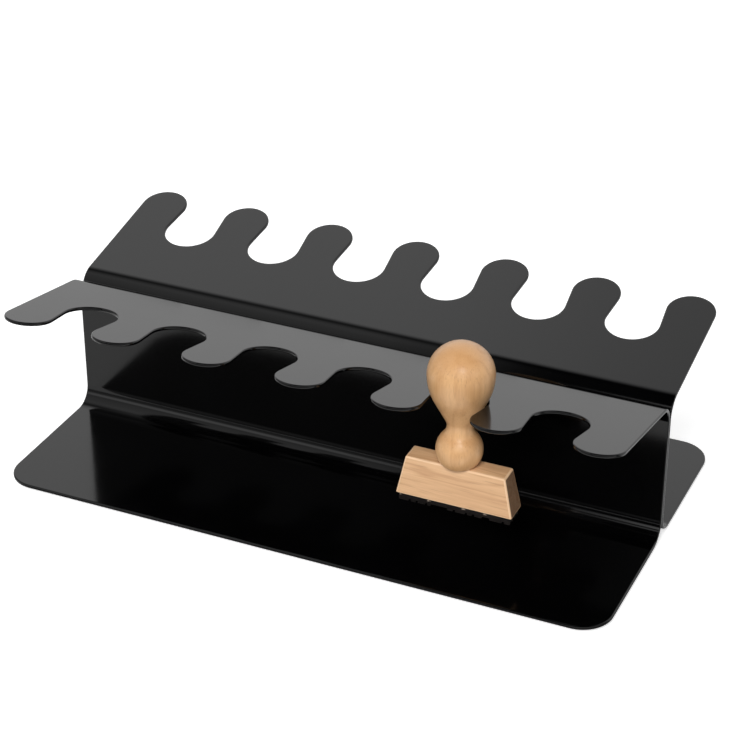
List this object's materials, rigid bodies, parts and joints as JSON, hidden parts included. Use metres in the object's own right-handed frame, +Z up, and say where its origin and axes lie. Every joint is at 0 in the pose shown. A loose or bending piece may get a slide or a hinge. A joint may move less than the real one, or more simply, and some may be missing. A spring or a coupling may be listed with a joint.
{
  "type": "stamp rack",
  "caption": "Gloss black bent-sheet desk rack with slotted combs rising to both sides of an upright on a wide foot; wooden hand stamps hang in the slots and lift out.",
  "frame": {"origin": "on the desk under the middle of the rack, in the plane where the two sheets meet", "axes": "+X along the row of slots, +Y from the front comb to the rear comb, +Z up"},
  "size_m": [0.2, 0.11, 0.0725],
  "materials": {
    "black_lacquer": "gloss lacquer",
    "weld_steel": "bare",
    "pad_rubber": "matt",
    "handle_wood": "clear satin varnish",
    "block_wood": "clear satin varnish",
    "cushion_foam": "matt foam",
    "die_rubber": "matt"
  },
  "bodies": {
    "rack": {"front_sheet": "black_lacquer", "rear_sheet": "black_lacquer", "spot_welds": "weld_steel", "pad_front_left": "pad_rubber", "pad_front_right": "pad_rubber", "pad_rear_left": "pad_rubber", "pad_rear_right": "pad_rubber"},
    "stamp": {"stamp_handle": "handle_wood", "stamp_block": "block_wood", "stamp_cushion": "cushion_foam", "stamp_die": "die_rubber"}
  },
  "joints": [
    {"name": "stamp_slide", "type": "slide", "parent": "rack", "child": "stamp", "axis": [0, -0.8829, 0.4695], "range_m": [0, 0.04]}
  ]
}
